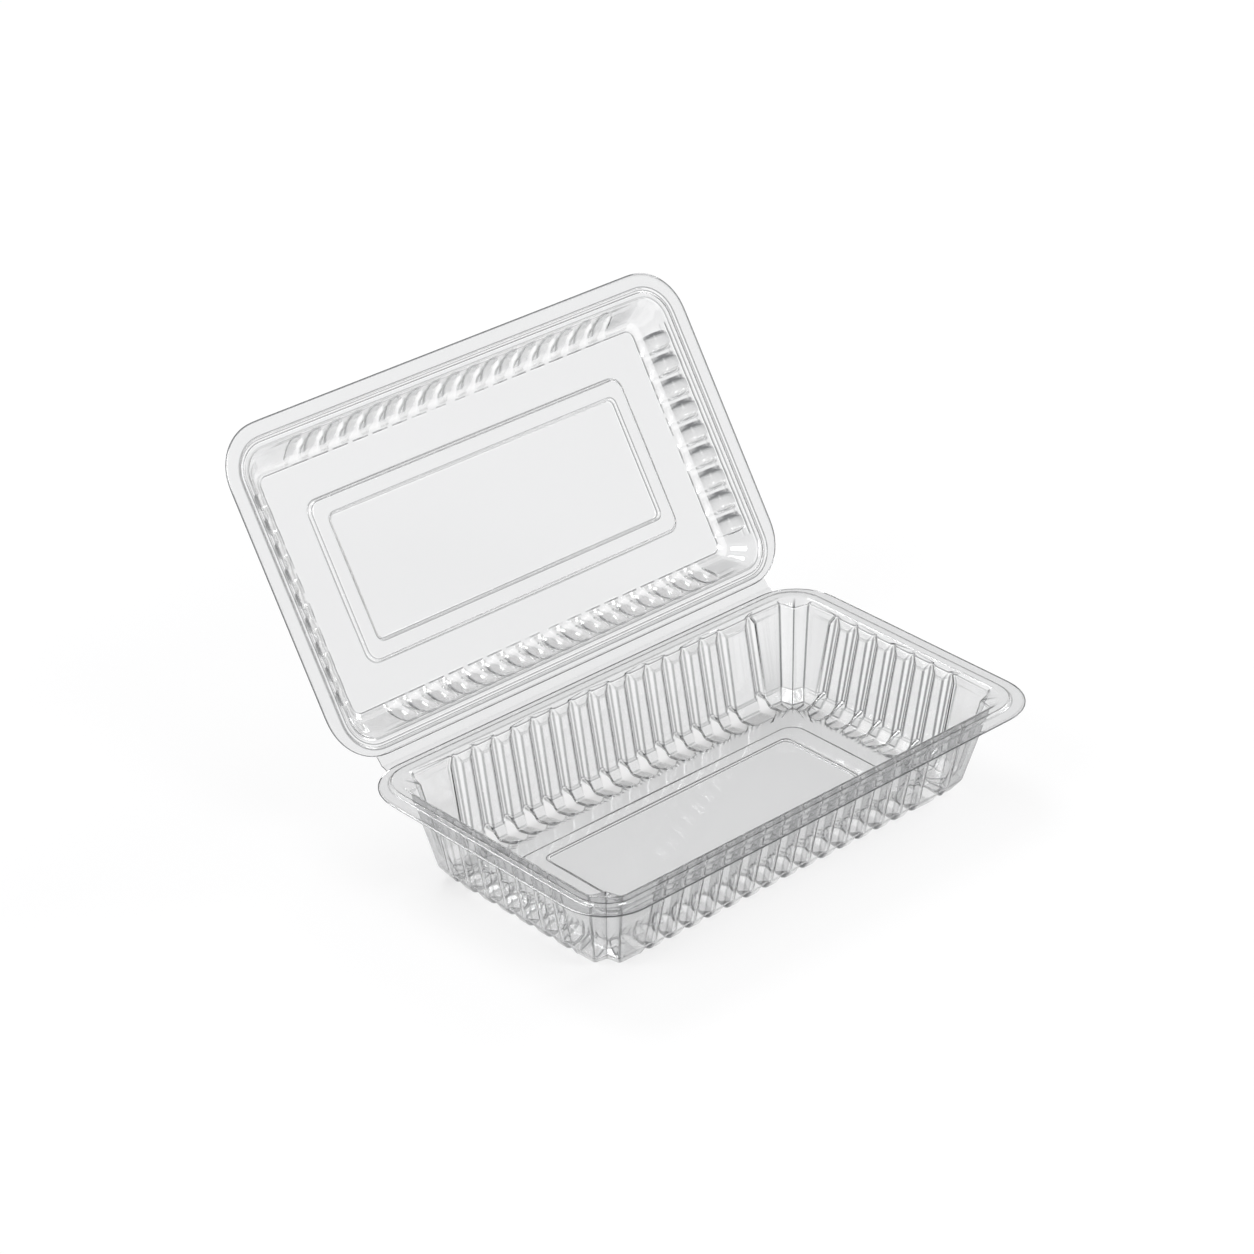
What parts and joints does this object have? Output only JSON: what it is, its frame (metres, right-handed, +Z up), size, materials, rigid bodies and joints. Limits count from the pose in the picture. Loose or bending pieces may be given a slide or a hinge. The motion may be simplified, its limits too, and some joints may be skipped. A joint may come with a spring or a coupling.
{
  "type": "hinged clamshell food pack",
  "caption": "Clear plastic clamshell pack: a deep fluted rectangular tray with a shallow fluted lid standing open on a living hinge.",
  "frame": {"origin": "on the table, under the middle of the open pack's bounding box", "axes": "+X along the long side, +Y towards the hinge and the lid, +Z up"},
  "size_m": [0.19, 0.1742, 0.1252],
  "materials": {
    "clear_sheet": "clear, colourless, glossy thermoformed sheet"
  },
  "bodies": {
    "tray_body": {"base_tray": "clear_sheet"},
    "lid_body": {"lid": "clear_sheet"}
  },
  "joints": [
    {"name": "lid_hinge", "type": "hinge", "parent": "tray_body", "child": "lid_body", "pos_m": [0, 0.02485, 0.03205], "axis": [1, 0, 0], "range_deg": [-56.75, 123.25]}
  ]
}
